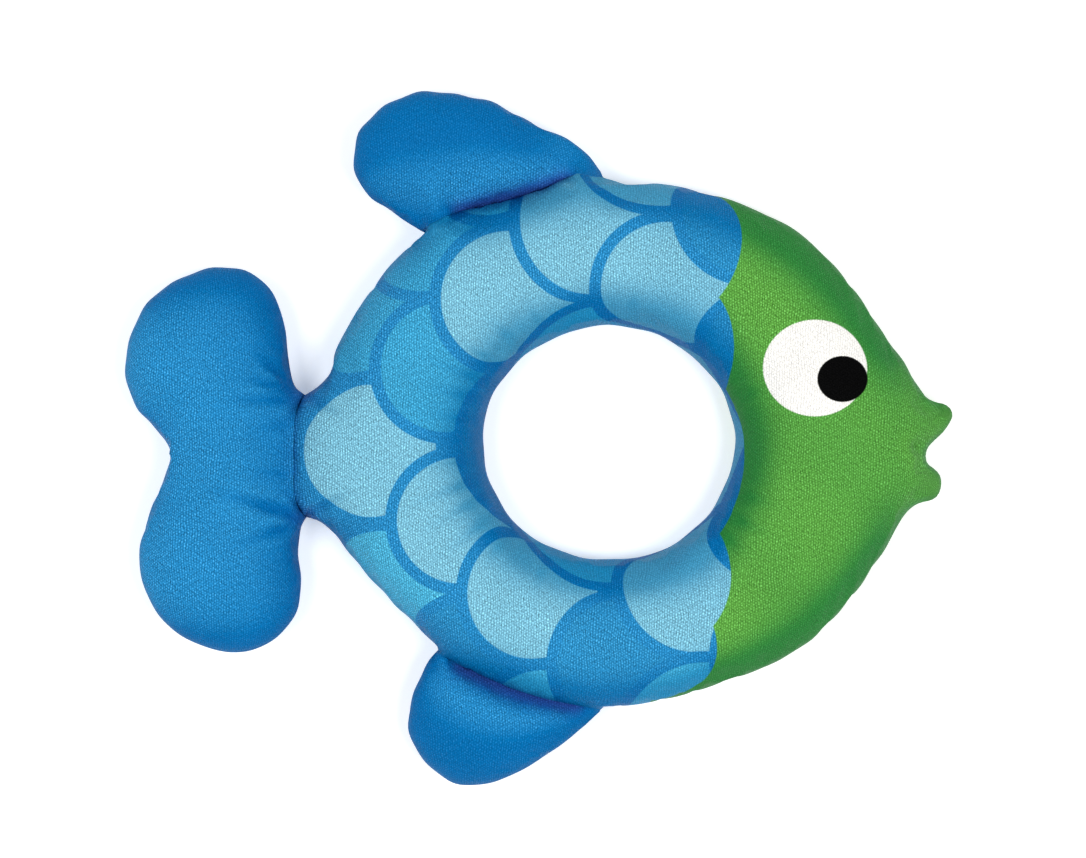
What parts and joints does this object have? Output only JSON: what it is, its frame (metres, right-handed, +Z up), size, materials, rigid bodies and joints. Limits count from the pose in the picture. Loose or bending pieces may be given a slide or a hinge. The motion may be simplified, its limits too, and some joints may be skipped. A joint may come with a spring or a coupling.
{
  "type": "kickboard float",
  "caption": "Soft stuffed ring float shaped as a fish, with a hand hole, tapered head with puckered lips, forked tail and two fins that flap on stitched folds.",
  "frame": {"origin": "middle of the outline's box, on the plane that the float rests on", "axes": "+X towards the head, +Y towards the upper fin, +Z up out of the front face"},
  "size_m": [0.4302, 0.3614, 0.0668],
  "materials": {
    "body_print": "matte",
    "fin_print": "matte",
    "filling_fibre": "matte",
    "sewing_thread": "satin"
  },
  "bodies": {
    "body": {"body_panel_front": "body_print", "body_panel_back": "body_print", "body_filling": "filling_fibre", "body_outer_seam_thread": "sewing_thread", "body_hole_seam_thread": "sewing_thread"},
    "tail": {"tail_panel_front": "fin_print", "tail_panel_back": "fin_print", "tail_filling": "filling_fibre", "tail_seam_thread": "sewing_thread", "tail_hinge_stitch": "sewing_thread"},
    "upper_fin": {"upper_fin_panel_front": "fin_print", "upper_fin_panel_back": "fin_print", "upper_fin_filling": "filling_fibre", "upper_fin_seam_thread": "sewing_thread", "upper_fin_hinge_stitch": "sewing_thread"},
    "lower_fin": {"lower_fin_panel_front": "fin_print", "lower_fin_panel_back": "fin_print", "lower_fin_filling": "filling_fibre", "lower_fin_seam_thread": "sewing_thread", "lower_fin_hinge_stitch": "sewing_thread"}
  },
  "joints": [
    {"name": "tail_flap", "type": "hinge", "parent": "body", "child": "tail", "pos_m": [-0.124, -0.008, 0.0308], "axis": [0, 1, 0], "range_deg": [-30, 30], "stiffness_Nm_per_rad": 0.4},
    {"name": "upper_fin_flap", "type": "hinge", "parent": "body", "child": "upper_fin", "pos_m": [-0.0139, 0.133, 0.0308], "axis": [0.9613, 0.2756, 0], "range_deg": [-45, 15], "stiffness_Nm_per_rad": 0.1},
    {"name": "lower_fin_flap", "type": "hinge", "parent": "body", "child": "lower_fin", "pos_m": [-0.0127, -0.1322, 0.0308], "axis": [-0.9432, 0.3322, 0], "range_deg": [-15, 45], "stiffness_Nm_per_rad": 0.08}
  ]
}
